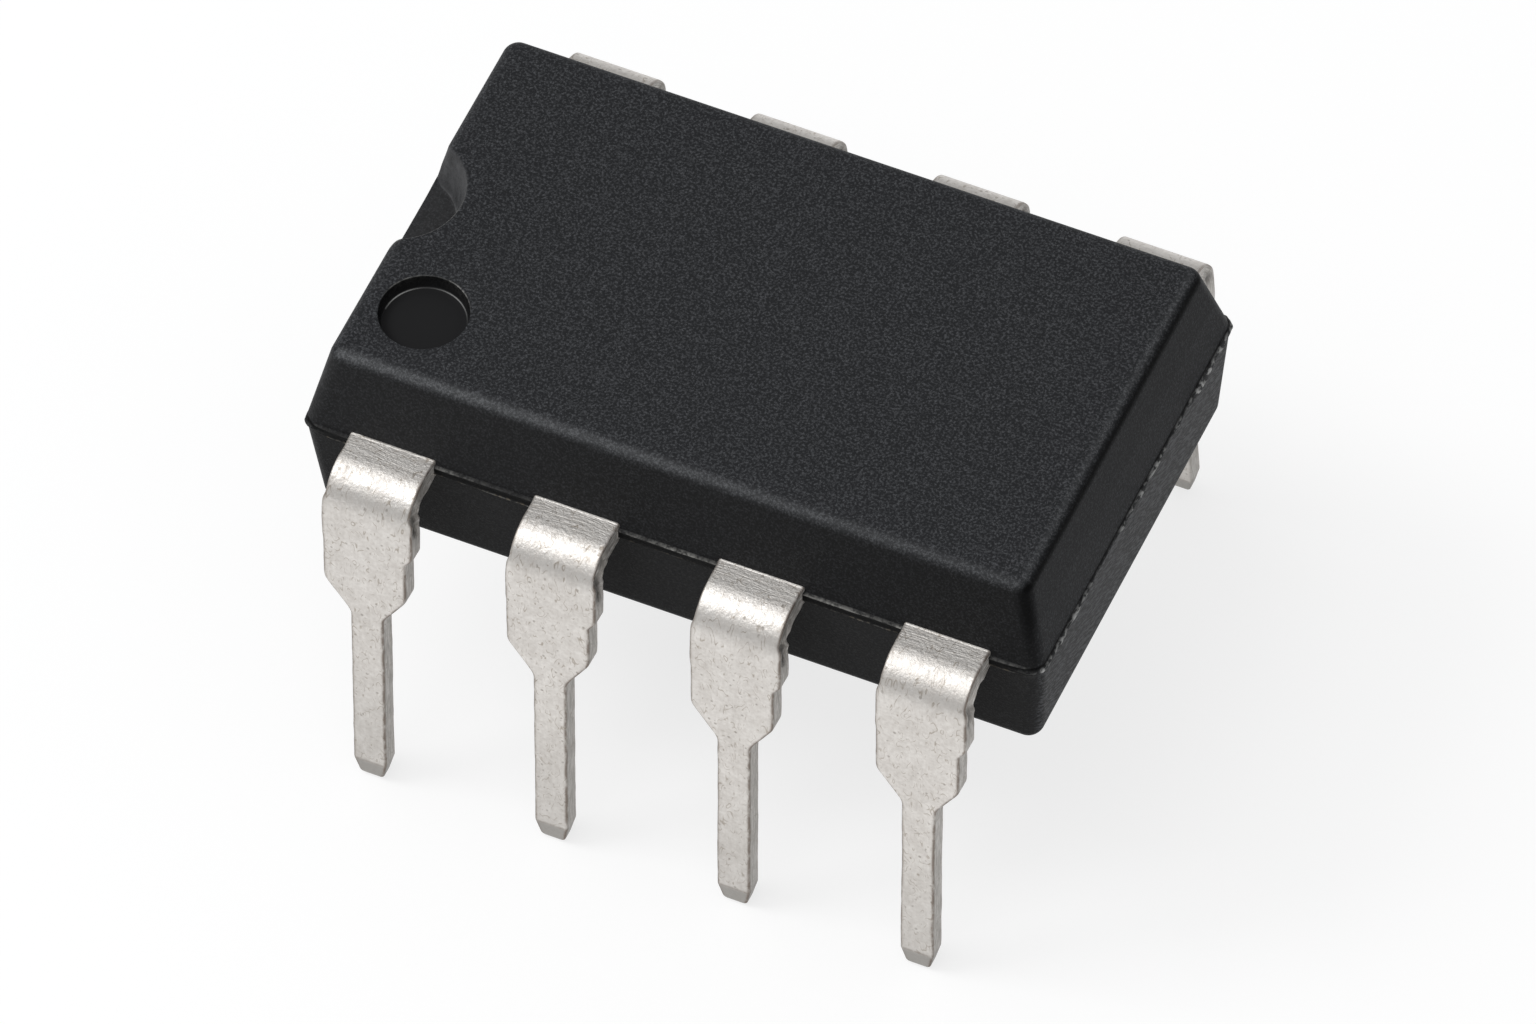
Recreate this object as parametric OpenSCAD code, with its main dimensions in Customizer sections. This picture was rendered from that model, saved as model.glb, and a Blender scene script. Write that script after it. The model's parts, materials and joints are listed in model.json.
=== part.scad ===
// Eight-lead dual in-line chip: a block of epoxy compound moulded round a stamped lead frame,
// a silicon die and its bond wires. Millimetres. The lead tips stand on z = 0, pin 1 is at the front
// left, beside the notched end, and the pins count to the right and then back along the far side.

/* [Body] */
// Length of the body at the parting line
body_l = 10.16; // [10.0:0.02:10.6]
// Width of the body at the parting line
body_w = 6.1; // [6.0:0.02:6.6]
// Thickness from the parting line to the top face
top_t = 1.3; // [1.2:0.02:1.7]
// Thickness from the parting line to the underside
bottom_t = 1.66; // [1.2:0.02:1.7]
// Draft of the sides above the parting line, in degrees
draft_top = 13; // [6:0.5:14]
// Draft of the sides below the parting line, in degrees
draft_bottom = 4.5; // [3:0.5:10]
// Radius of the edges round the top face and the underside
edge_r = 0.22; // [0.1:0.02:0.36]
// Radius of the upright corners
corner_r = 0.2; // [0.1:0.02:0.5]

/* [Parting line] */
// Height of the band of compound that the dam bars left along the leads
band_h = 0.15; // [0.08:0.01:0.24]
// How far the band stands out of the long sides
band_out = 0.03; // [0.01:0.01:0.06]
// Height of the flash round the ends
flash_h = 0.05; // [0.02:0.01:0.08]
// How far the flash stands out of the ends
flash_out = 0.03; // [0.01:0.01:0.06]

/* [Notch] */
// Radius of the half-round notch at the top face
notch_r = 0.86; // [0.6:0.02:1.0]
// Depth of the notch below the top face
notch_depth = 0.7; // [0.4:0.05:0.9]
// Draft of the notch wall, in degrees
notch_draft = 12; // [0:1:15]

/* [Pin 1 dimple] */
// Radius of the dimple at the top face
dimple_r = 0.58; // [0.4:0.01:0.65]
// Depth of the dimple
dimple_depth = 0.2; // [0.08:0.02:0.3]
// Draft of the dimple wall, in degrees
dimple_draft = 8; // [0:1:15]
// Distance from the notched end of the body to the middle of the dimple
dimple_from_end = 1.15; // [1.1:0.01:1.4]
// Distance from the front of the body to the middle of the dimple
dimple_from_side = 1.32; // [1.25:0.01:1.4]

/* [Ejector marks] */
// Radius of the two round ejector marks under the body
mark_r = 0.7; // [0.4:0.05:1.0]
// Depth of the ejector marks
mark_depth = 0.06; // [0.03:0.01:0.12]
// Distance between the middles of the two ejector marks
mark_spacing = 5.6; // [4.0:0.1:6.4]

/* [Leads] */
// Distance from one lead to the next along a row
pitch = 2.54; // [2.5:0.01:2.58]
// Thickness of the lead frame strip
lead_t = 0.28; // [0.2:0.01:0.34]
// Height of the strip's upper face above the lead tips
lead_top = 5.5; // [5.2:0.05:5.9]
// How far a lead reaches out of the side of the body, to its outer face just below the bend
reach = 0.86; // [0.7:0.02:0.9]
// Inner radius of the bend
bend_r = 0.14; // [0.08:0.02:0.2]
// Angle by which each leg leans outward, in degrees
splay = 4; // [1:0.5:8]
// Width of the shelf and of the bend
shelf_w = 1.18; // [1.0:0.02:1.4]
// Distance from the bend down to the stretch where the dam bar was sheared off
dam_drop = 0.12; // [0.08:0.02:0.3]
// Height of that stretch
dam_h = 0.8; // [0.5:0.05:1.0]
// How far the sheared stretch stands out of the shelf's sides
dam_out = 0.03; // [0.01:0.01:0.06]
// Width of the shoulder below the sheared stretch
shoulder_w = 1.14; // [1.0:0.02:1.18]
// Distance from the bend down to the foot of the shoulder
shoulder_h = 1.42; // [1.3:0.02:1.7]
// Height of the taper from the shoulder to the narrow leg
taper_h = 0.5; // [0.3:0.05:0.7]
// Radius of the shoulder's lower corners
taper_r = 0.14; // [0.06:0.02:0.2]
// Width of the narrow leg
leg_w = 0.46; // [0.38:0.01:0.56]
// Height of the coined tip
tip_h = 0.34; // [0.15:0.01:0.5]
// Width of the tip's flat end
tip_w = 0.27; // [0.16:0.01:0.34]
// Thickness of the tip's flat end
tip_t = 0.16; // [0.1:0.01:0.19]

/* [Inner leads] */
// How far the full width of a lead reaches into the body
root_in = 0.62; // [0.5:0.02:0.7]
// Radius of the notches that lock a lead in the compound
lock_r = 0.15; // [0.08:0.01:0.2]
// Width of the inner finger of a lead
finger_w = 0.44; // [0.34:0.02:0.5]
// Gap between a finger's end and the die pad
finger_gap = 0.25; // [0.15:0.01:0.3]
// Distance from the long middle line of the chip to an end lead's finger
end_finger_y = 0.72; // [0.6:0.02:0.8]
// Distance from the short middle line of the chip to a middle lead's finger end
mid_finger_x = 0.85; // [0.7:0.05:1.0]

/* [Die and die pad] */
// Length of the die pad
pad_l = 3.1; // [2.8:0.1:3.3]
// Width of the die pad
pad_w = 2.1; // [1.9:0.1:2.3]
// How far the die pad lies below the leads
pad_down = 0.2; // [0.1:0.02:0.26]
// Width of the two bars that tied the pad to the strip
tie_w = 0.5; // [0.3:0.02:0.54]
// Thickness of compound left over the ends of the tie bars
tie_cover = 0.15; // [0.1:0.01:0.3]
// Length of the die
die_l = 1.6; // [1.4:0.1:1.9]
// Width of the die
die_w = 1.3; // [1.1:0.1:1.5]
// Thickness of the die
die_t = 0.28; // [0.2:0.02:0.36]
// Thickness of the adhesive under the die
attach_t = 0.04; // [0.02:0.01:0.06]
// How far the adhesive stands out round the die
attach_edge = 0.08; // [0.04:0.02:0.14]

/* [Bond wires] */
// Diameter of a bond wire
wire_d = 0.033; // [0.025:0.001:0.05]
// Diameter of the ball bond and of the stitch bond
ball_d = 0.09; // [0.07:0.01:0.12]
// Height of the ball bond and of the stitch bond
ball_h = 0.03; // [0.02:0.01:0.05]
// How far the ends of a wire's curve are drawn upward
wire_rise = 0.34; // [0.2:0.02:0.44]
// Distance from the die's edge to a bond
bond_in = 0.12; // [0.08:0.02:0.2]
// Distance from a finger's end to its bond
stitch_in = 0.18; // [0.1:0.02:0.24]

/* [Hidden] */
pins = 8;
row_pins = pins / 2;

// Facets of a hull's round children, of a round recess and of a bond, and steps in a rounded corner
round_fn = 32;
recess_fn = 64;
bond_fn = 12;
arc_steps = 6;
// Thickness of the plates that give a hull its flat faces
skin = 0.01;

// Heights of the parting plane, the faces of the body and the top of the die
mid_z = lead_top - lead_t / 2;
top_z = mid_z + top_t;
under_z = mid_z - bottom_t;
pad_top = lead_top - pad_down;
die_top = pad_top + attach_t + die_t;

// The bend of a front lead: its outer radius and the middle of its arcs
bend_out = bend_r + lead_t;
bend_y = -(body_w / 2 + reach - bend_out * cos(splay));
bend_z = lead_top - bend_out;
// The outer face of the leg starts here, and runs down to the tip
leg_y = bend_y - bend_out * cos(splay);
leg_z = bend_z + bend_out * sin(splay);
leg_l = leg_z / cos(splay);

// Inner end of a front lead's wide root
root_y = -(body_w / 2 - root_in);

// A middle lead's finger leaves its root straight, then slants to the pad
mid_finger_y = -(pad_w / 2 + finger_gap);
mid_elbow_y = mid_finger_y - 2 * finger_w;
// An end lead's finger turns towards the end of the pad
end_finger_x = -(pad_l / 2 + finger_gap);
end_elbow_x = end_finger_x - 2 * finger_w;
end_elbow_y = -end_finger_y - 2 * finger_w;

// Unit vector, and the vector turned a quarter turn to the left
function unit(v) = v / norm(v);
function left(v) = [-v[1], v[0]];

// Points of the arc that rounds corner b between a and c
function fillet(a, b, c, r) =
    let (u = unit(a - b), v = unit(c - b), half = acos(u * v) / 2)
    let (o = b + unit(u + v) * r / sin(half))
    let (s = b + u * r / tan(half) - o, e = b + v * r / tan(half) - o)
    let (a0 = atan2(s[1], s[0]), turn = (atan2(e[1], e[0]) - a0 + 540) % 360 - 180)
    [for (i = [0:arc_steps]) o + r * [cos(a0 + turn * i / arc_steps), sin(a0 + turn * i / arc_steps)]];

// Outline of a strip of width w along a line of points, mitred at its corners
function heading(p, i) = unit(p[i + 1] - p[i]);
function mitre(p, i) =
    i == 0 ? left(heading(p, 0)) :
    i == len(p) - 1 ? left(heading(p, i - 1)) :
    let (a = left(heading(p, i - 1)), m = unit(a + left(heading(p, i)))) m / (m * a);
function strip(p, w) = concat(
    [for (i = [0:len(p) - 1]) p[i] + mitre(p, i) * w / 2],
    [for (i = [len(p) - 1:-1:0]) p[i] - mitre(p, i) * w / 2]);

// Mirrored copy of a half outline, which closes it
function both_sides(half) = concat(half, [for (i = [len(half) - 1:-1:0]) [-half[i][0], half[i][1]]]);

// Leads 1 to 4 run along the front from the notched end, and 5 to 8 are the same turned half round
function in_row(n) = (n - 1) % row_pins;
function lead_x(n) = (in_row(n) - (row_pins - 1) / 2) * pitch;
function is_end(n) = in_row(n) == 0 || in_row(n) == row_pins - 1;

module at_row(n) {
    rotate([0, 0, n > row_pins ? 180 : 0]) mirror([lead_x(n) > 0 ? 1 : 0, 0, 0]) children();
}

// Rounded rectangle in the plane
module rounded_plate(l, w, r, h) {
    corners = [[l, w], [-l, w], [-l, -w], [l, -w]] / 2;
    linear_extrude(h)
        polygon([for (i = [0:3]) each fillet(corners[(i + 3) % 4], corners[i], corners[(i + 1) % 4], r)]);
}

// Half of the moulded block, from the parting line up to its face: drafted sides and round edges
module half_block(h, draft) {
    ball_in = (h - edge_r) * tan(draft) + edge_r / cos(draft);
    hull() {
        for (x = [-1, 1], y = [-1, 1]) {
            translate([x * (body_l / 2 - corner_r), y * (body_w / 2 - corner_r), 0])
                cylinder(r = corner_r, h = skin, $fn = round_fn);
            translate([x * (body_l / 2 - ball_in), y * (body_w / 2 - ball_in), h - edge_r])
                sphere(r = edge_r, $fn = round_fn);
        }
        translate([0, 0, h - skin / 2])
            cube([body_l - 2 * ball_in, body_w - 2 * ball_in, skin], center = true);
    }
}

// The block before anything is let into it
module block() {
    translate([0, 0, mid_z]) {
        half_block(top_t, draft_top);
        mirror([0, 0, 1]) half_block(bottom_t, draft_bottom);
        cube([body_l - 2 * corner_r, body_w + 2 * band_out, band_h], center = true);
        translate([0, 0, -flash_h / 2])
            rounded_plate(body_l + 2 * flash_out, body_w + 2 * flash_out, corner_r, flash_h);
    }
}

// A round recess sunk from the top face, with a drafted wall
module recess(r, depth, draft) {
    translate([0, 0, top_z - depth])
        cylinder(r1 = r - depth * tan(draft), r2 = r + depth * tan(draft), h = 2 * depth, $fn = recess_fn);
}

module body() {
    color([0.13, 0.135, 0.14])
        difference() {
            block();
            translate([-body_l / 2, 0, 0]) recess(notch_r, notch_depth, notch_draft);
            translate([dimple_from_end - body_l / 2, dimple_from_side - body_w / 2, 0])
                recess(dimple_r, dimple_depth, dimple_draft);
            for (x = [-1, 1])
                translate([x * mark_spacing / 2, 0, under_z - mark_depth])
                    cylinder(r = mark_r, h = 2 * mark_depth, $fn = recess_fn);
            for (n = [1:pins]) {
                flat_lead(n);
                bond_wire(n);
            }
            die_pad();
            die_attach();
            die();
        }
}

// Middle line of a lead's inner finger, from its root to its end beside the die pad
function finger_line(n) = is_end(n) ?
    [[-abs(lead_x(n)), root_y - finger_w], [-abs(lead_x(n)), end_elbow_y - finger_w / 2],
        [end_elbow_x, -end_finger_y], [end_finger_x, -end_finger_y]] :
    [[-abs(lead_x(n)), root_y - finger_w], [-abs(lead_x(n)), mid_elbow_y],
        [-mid_finger_x, mid_finger_y - stitch_in], [-mid_finger_x, mid_finger_y]];

// The flat of a lead: its shelf, the root with the lock notches, and the inner finger
module flat_lead(n) {
    at_row(n)
        translate([0, 0, lead_top - lead_t]) linear_extrude(lead_t)
            difference() {
                union() {
                    translate([-abs(lead_x(n)) - shelf_w / 2, bend_y]) square([shelf_w, root_y - bend_y]);
                    polygon(strip(finger_line(n), finger_w));
                }
                for (x = [-1, 1])
                    translate([-abs(lead_x(n)) + x * shelf_w / 2, root_y - root_in / 2])
                        circle(r = lock_r, $fn = round_fn);
            }
}

// Front outline of a leg, half of it: the sheared stretch, the shoulder, its taper and the coined tip
dam_x = shelf_w / 2 + dam_out;
shoulder_x = shoulder_w / 2;
leg_half = concat(
    [[shelf_w / 2, 0], [shelf_w / 2, -dam_drop], [dam_x, -dam_drop - dam_out],
        [dam_x, -dam_drop - dam_h + dam_out]],
    [[shoulder_x, -dam_drop - dam_h - dam_out]],
    fillet([shoulder_x, 0], [shoulder_x, -shoulder_h], [leg_w / 2, -shoulder_h - taper_h], taper_r),
    fillet([shoulder_x, -shoulder_h], [leg_w / 2, -shoulder_h - taper_h], [leg_w / 2, -leg_l], taper_r),
    [[leg_w / 2, -leg_l + tip_h], [tip_w / 2, -leg_l]]);

// Side outline of a leg: its thickness, coined thinner at the tip
tip_side = (lead_t - tip_t) / 2;
leg_side = [[0, 0], [lead_t, 0], [lead_t, -leg_l + tip_h], [lead_t - tip_side, -leg_l],
    [tip_side, -leg_l], [0, -leg_l + tip_h]];

module leg() {
    widest = 2 * dam_x;
    difference() {
        translate([0, leg_y, leg_z]) rotate([-splay, 0, 0])
            intersection() {
                translate([0, lead_t, 0]) rotate([90, 0, 0]) linear_extrude(lead_t) polygon(both_sides(leg_half));
                translate([-widest / 2, 0, 0]) rotate([90, 0, 90]) linear_extrude(widest) polygon(leg_side);
            }
        translate([-widest / 2, leg_y - leg_l * sin(splay) - lead_t, -lead_t])
            cube([widest, 3 * lead_t, lead_t]);
    }
}

module bend() {
    translate([-shelf_w / 2, bend_y, bend_z])
        rotate([90, 0, 90]) rotate([0, 0, 90]) rotate_extrude(angle = 90 - splay, $fn = recess_fn)
            translate([bend_r, 0]) square([lead_t, shelf_w]);
}

module lead(n) {
    color([0.78, 0.77, 0.74]) {
        flat_lead(n);
        at_row(n)
            translate([-abs(lead_x(n)), 0, 0]) {
                bend();
                leg();
            }
    }
}

// The paddle under the die, and the tie bars that step up from it to the level of the leads
module die_pad() {
    foot_x = pad_l / 2 + pad_down;
    head_x = foot_x + pad_down;
    end_x = body_l / 2 - tie_cover;
    tie_side = [[pad_l / 2 - tie_w, -pad_down], [foot_x, -pad_down], [head_x, 0], [end_x, 0],
        [end_x, -lead_t], [head_x, -lead_t], [foot_x, -lead_t - pad_down],
        [pad_l / 2 - tie_w, -lead_t - pad_down]];
    color([0.72, 0.6, 0.46]) {
        translate([-pad_l / 2, -pad_w / 2, pad_top - lead_t]) cube([pad_l, pad_w, lead_t]);
        for (side = [0, 1])
            mirror([side, 0, 0])
                translate([0, tie_w / 2, lead_top]) rotate([90, 0, 0]) linear_extrude(tie_w) polygon(tie_side);
    }
}

module die_attach() {
    color([0.6, 0.6, 0.58])
        translate([-die_l / 2 - attach_edge, -die_w / 2 - attach_edge, pad_top])
            cube([die_l + 2 * attach_edge, die_w + 2 * attach_edge, attach_t]);
}

module die() {
    color([0.35, 0.38, 0.45])
        translate([-die_l / 2, -die_w / 2, pad_top + attach_t]) cube([die_l, die_w, die_t]);
}

// Where a wire of the front left quarter leaves the die, and where it meets its lead's finger
function bond_from(n) = is_end(n) ?
    [-die_l / 2 + bond_in, -die_w / 4] :
    [-die_l / 4, -die_w / 2 + bond_in];
function bond_to(n) = is_end(n) ?
    [end_finger_x - stitch_in, -end_finger_y] :
    [-mid_finger_x, mid_finger_y - stitch_in];

// Point at t on the curve with ends a and d and handles b and c, and its direction there
function curve(a, b, c, d, t) =
    a * pow(1 - t, 3) + 3 * b * t * pow(1 - t, 2) + 3 * c * t * t * (1 - t) + d * pow(t, 3);
function slope(a, b, c, d, t) =
    unit((b - a) * pow(1 - t, 2) + 2 * (c - b) * t * (1 - t) + (d - c) * t * t);

// A wire: an eight-sided tube that rises from its ball on the die and comes down to its stitch
wire_sides = 8;
wire_rings = 14;

module bond_wire(n) {
    from = concat(bond_from(n), die_top);
    to = concat(bond_to(n), lead_top);
    handle_from = from + [0, 0, wire_rise];
    handle_to = to + [0, 0, wire_rise + die_top - lead_top];
    across = unit(cross([to[0] - from[0], to[1] - from[1], 0], [0, 0, 1]));
    points = [for (i = [0:wire_rings])
        let (t = i / wire_rings, p = curve(from, handle_from, handle_to, to, t))
        let (out = cross(across, slope(from, handle_from, handle_to, to, t)))
        for (j = [0:wire_sides - 1])
            p + wire_d / 2 * (cos(360 * j / wire_sides) * across + sin(360 * j / wire_sides) * out)];
    walls = [for (i = [0:wire_rings - 1], j = [0:wire_sides - 1])
        let (k = (j + 1) % wire_sides, a = i * wire_sides, b = a + wire_sides)
        each [[a + j, a + k, b + k], [a + j, b + k, b + j]]];
    start = [for (j = [wire_sides - 1:-1:0]) j];
    end = [for (j = [0:wire_sides - 1]) wire_rings * wire_sides + j];
    color([0.9, 0.72, 0.3])
        at_row(n) {
            polyhedron(points, concat([start], walls, [end]));
            for (p = [from, to])
                translate(p) cylinder(d = ball_d, h = ball_h, $fn = bond_fn);
        }
}

body();
for (n = [1:pins]) lead(n);
die_pad();
die_attach();
die();
for (n = [1:pins]) bond_wire(n);
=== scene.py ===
import json
import math
import bpy
import numpy as np
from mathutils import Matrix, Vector
from mathutils.geometry import delaunay_2d_cdt

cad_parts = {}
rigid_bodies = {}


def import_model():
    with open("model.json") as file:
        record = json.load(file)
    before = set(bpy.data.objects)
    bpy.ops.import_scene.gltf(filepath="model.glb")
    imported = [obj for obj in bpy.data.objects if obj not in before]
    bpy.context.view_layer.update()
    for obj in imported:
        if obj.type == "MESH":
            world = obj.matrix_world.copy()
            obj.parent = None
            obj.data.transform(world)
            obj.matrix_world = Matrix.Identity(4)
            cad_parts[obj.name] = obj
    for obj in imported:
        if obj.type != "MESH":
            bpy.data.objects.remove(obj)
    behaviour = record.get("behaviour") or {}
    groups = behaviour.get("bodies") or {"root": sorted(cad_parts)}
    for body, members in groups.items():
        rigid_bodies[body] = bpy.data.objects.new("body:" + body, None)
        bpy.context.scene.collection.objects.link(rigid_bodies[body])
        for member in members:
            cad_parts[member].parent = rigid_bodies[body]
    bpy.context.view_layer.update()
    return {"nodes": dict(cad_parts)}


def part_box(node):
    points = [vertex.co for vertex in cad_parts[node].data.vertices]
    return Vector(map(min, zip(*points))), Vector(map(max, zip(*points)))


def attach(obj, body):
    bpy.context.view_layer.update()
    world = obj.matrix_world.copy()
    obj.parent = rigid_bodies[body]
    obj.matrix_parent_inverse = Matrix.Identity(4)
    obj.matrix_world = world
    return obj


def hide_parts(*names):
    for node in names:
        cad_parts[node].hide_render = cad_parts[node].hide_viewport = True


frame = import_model()
metres = 0.001  # every size below is in millimetres
print("frame loaded:", len(frame["nodes"]), "nodes")


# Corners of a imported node, in millimetres
def nodeBox(name):
    low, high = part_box(name)
    return np.array(low) / metres, np.array(high) / metres


# Smooth step from 0 at low to 1 at high
def ease(x, low, high):
    t = np.clip((x - low) / (high - low), 0, 1)
    return t * t * (3 - 2 * t)


# Bell curve of height 1 round the middle
def bell(x, middle, width):
    return np.exp(-0.5 * ((x - middle) / width) ** 2)


# Average of the points on both sides, by a Gaussian that many points wide
def soften(row, width, closed):
    reach = int(4 * width) + 1
    kernel = np.exp(-0.5 * (np.arange(-reach, reach + 1) / width) ** 2)
    padded = np.pad(row, reach, mode="wrap" if closed else "edge")
    return np.convolve(padded, kernel / kernel.sum(), mode="valid")


# Smooth noise along a row of points: seeded random heights, softened, about 1 high
def smoothNoise(count, width, seed, closed=False):
    noise = soften(np.random.default_rng(seed).normal(size=count), width, closed)
    return noise / noise.std()


# Quads between the rows of a grid of points; a closed grid joins its last column to its first
def gridFaces(rows, columns, closed):
    r, c = np.meshgrid(np.arange(rows - 1), np.arange(columns if closed else columns - 1), indexing="ij")
    a = (r * columns + c).ravel()
    b = (r * columns + (c + 1) % columns).ravel()
    return np.stack([a, b, b + columns, a + columns], axis=1)


# One mesh from several surfaces, each with its points, its blocks of faces and its values at the points.
# Points that coincide become one, and a quad with two equal corners becomes a triangle
def joinSurfaces(name, surfaces, creaseDegrees):
    grids = [s[0].reshape(-1, 3) for s in surfaces]
    points = np.concatenate(grids)
    first, merged = np.unique(np.round(points, 4), axis=0, return_index=True, return_inverse=True)[1:]
    merged = merged.ravel()
    faces = []
    offset = 0
    for grid, surface in zip(grids, surfaces):
        for block in surface[1]:
            corners = merged[np.asarray(block) + offset]
            same = corners == np.roll(corners, -1, axis=1)
            faces += corners[~same.any(axis=1)].tolist()
            if corners.shape[1] == 4:
                for side in range(4):
                    once = same[:, side] & (same.sum(axis=1) == 1)
                    faces += np.delete(corners[once], side, axis=1).tolist()
        offset += len(grid)
    mesh = bpy.data.meshes.new(name)
    mesh.from_pydata((points[first] * metres).tolist(), [], faces)
    for key in surfaces[0][2]:
        values = np.concatenate([np.asarray(s[2][key], np.float32).reshape(len(g), -1)
                                 for g, s in zip(grids, surfaces)])[first]
        isVector = values.shape[1] == 3
        attribute = mesh.attributes.new(key, "FLOAT_VECTOR" if isVector else "FLOAT", "POINT")
        attribute.data.foreach_set("vector" if isVector else "value", values.ravel())
    mesh.update()
    mesh.shade_smooth()
    mesh.set_sharp_from_angle(angle=math.radians(creaseDegrees))
    piece = bpy.data.objects.new(name, mesh)
    bpy.context.scene.collection.objects.link(piece)
    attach(piece, "root")
    return piece


# Flat surface inside an outline and outside its round holes, as triangles about as large as spacing
def flatFill(outline, holes, height, faceUp, spacing):
    loops = [outline] + [hole["loop"] for hole in holes]
    low, high = outline.min(0), outline.max(0)
    xs, ys = np.meshgrid(np.arange(low[0], high[0], spacing), np.arange(low[1], high[1], spacing))
    inner = np.stack([xs.ravel(), ys.ravel()], axis=1)
    nearest = np.linalg.norm(inner[:, None] - np.concatenate(loops)[None], axis=2).min(axis=1)
    inner = inner[nearest > spacing * 0.4]
    points = np.concatenate(loops + [inner])
    edges = []
    start = 0
    for loop in loops:
        index = np.arange(len(loop)) + start
        edges += np.stack([index, np.roll(index, -1)], axis=1).tolist()
        start += len(loop)
    found = delaunay_2d_cdt(points.tolist(), edges, [list(range(len(outline)))], 1, 1e-6)
    exact = np.array([points[source[0]] for source in found[3]])
    triangles = np.array(found[2])
    middles = exact[triangles].mean(axis=1)
    for hole in holes:
        outside = np.linalg.norm(middles - hole["centre"], axis=1) > hole["radius"]
        triangles, middles = triangles[outside], middles[outside]
    return np.column_stack([exact, np.full(len(exact), height)]), triangles if faceUp else triangles[:, ::-1]


# The moulded body, its notch, its dimple and the ejector marks under it
bodyShape = {
    "bandOut": 0.03, "bandHeight": 0.15, "draftTop": 13, "draftBottom": 4.5, "edge": 0.22, "corner": 0.2,
    "lipOut": 0.014, "lipWidth": 0.01, "flashOut": 0.04, "flashWidth": 0.016, "cornerTip": 0.03, "cornerTipHigh": 0.06, "seed": 5,
}
notchShape = {"radius": 0.86, "depth": 0.7, "draft": 12, "rim": 0.05, "shoulder": 0.22, "lip": 0.04,
              "fillet": 0.05}
# seam and rimLight are the radii of the dimple's painted highlights
dimpleShape = {"radius": 0.58, "depth": 0.2, "draft": 8, "rim": 0.022, "fillet": 0.03, "seam": 0.538, "rimLight": 0.586, "steps": 160,
               "fromEnd": 1.15, "fromSide": 1.32}
markShape = {"radius": 0.7, "depth": 0.06, "draft": 20, "rim": 0.03, "fillet": 0.03, "steps": 96, "spacing": 5.6}
stripThickness = 0.28
partingHeight = nodeBox("lead_1")[1][2] - stripThickness / 2


# Outlines of the body, one row of points for each ring: a rounded rectangle with a round notch in its left
# end, whose shoulders are round too. a and b are half the length and width, r the corners' radius, n the
# notch's radius, all columns with one value for each ring. cut is 0 where the end is straight and 1 at the notch
def bodyOutlines(a, b, r, n, cut, halfLength):
    shoulder = notchShape["shoulder"]

    def arc(x, y, radius, start, turn, count):
        angle = np.radians(start + turn * np.arange(count) / count)
        return x + radius * np.cos(angle), y + radius * np.sin(angle)

    def line(x0, y0, x1, y1, count):
        t = np.arange(count) / count
        return x0 + (x1 - x0) * t, y0 + (y1 - y0) * t

    footX = halfLength - a + shoulder
    footY = np.sqrt((n + shoulder) ** 2 - footX ** 2)
    opening = np.degrees(np.arctan2(footY, footX))
    parts = [
        arc(r - a, r - b, r, 180, 90, 18),
        line(r - a, -b, a - r, -b, 230),
        arc(a - r, r - b, r, 270, 90, 18),
        line(a, r - b, a, b - r, 136),
        arc(a - r, b - r, r, 0, 90, 18),
        line(a - r, b, r - a, b, 230),
        arc(r - a, b - r, r, 90, 90, 18),
        line(-a, b - r, -a, footY, 44),
        arc(shoulder - a, footY, shoulder, 180, opening, 16),
        arc(-halfLength, 0, n, opening, -2 * opening, 72),
        arc(shoulder - a, -footY, shoulder, 180 - opening, opening, 16),
        line(-a, -footY, -a, r - b, 44),
    ]
    x = np.concatenate([np.broadcast_arrays(p[0], p[1])[0] for p in parts], axis=1)
    y = np.concatenate([np.broadcast_arrays(p[0], p[1])[1] for p in parts], axis=1)
    counts = [np.broadcast(p[0], p[1]).shape[1] for p in parts]
    ends = np.cumsum(counts)
    inNotch = np.zeros(x.shape[1])  # 1 on the notch's arc, falling to 0 over its shoulders
    inNotch[ends[7]:ends[8]] = ease(np.arange(counts[8]) / counts[8], 0, 1)
    inNotch[ends[8]:ends[9]] = 1
    inNotch[ends[9]:ends[10]] = ease(1 - np.arange(counts[10]) / counts[10], 0, 1)
    onLongSide = np.zeros(x.shape[1])
    onLongSide[ends[0]:ends[1]] = 1
    onLongSide[ends[4]:ends[5]] = 1
    notched = slice(ends[7], ends[10])
    x[:, notched] = -a + (x[:, notched] + a) * cut
    corners = [(ends[0]) / 2, (ends[3] + ends[4]) / 2]  # the front left and the back right one
    return x, y, inNotch, onLongSide, corners


# Half of the side's profile, from the parting line to the flat face: the distance out, the height, the
# corner's radius and how far the normal leans from upright, in degrees. The drafted side is straight and touches the round edge, which turns on through to the flat
def sideProfile(half, draftDegrees, start, sideSteps, edgeSteps):
    draft = math.radians(draftDegrees)
    edge = bodyShape["edge"]
    inset = (half - edge) * math.tan(draft) + edge / math.cos(draft)
    turn = np.linspace(draft, math.pi / 2, edgeSteps)
    top = np.stack([edge * np.cos(turn) - inset, half - edge + edge * np.sin(turn), edge * np.cos(turn),
                    90 - np.degrees(turn)])
    up = np.linspace(start, top[1, 0], sideSteps, endpoint=False)
    foot = [0, 0, bodyShape["corner"], 90 - draftDegrees]
    side = np.stack([f + (t - f) * up / top[1, 0] for f, t in zip(foot, top[:, 0])])
    return np.concatenate([side, top], axis=1)


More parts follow.
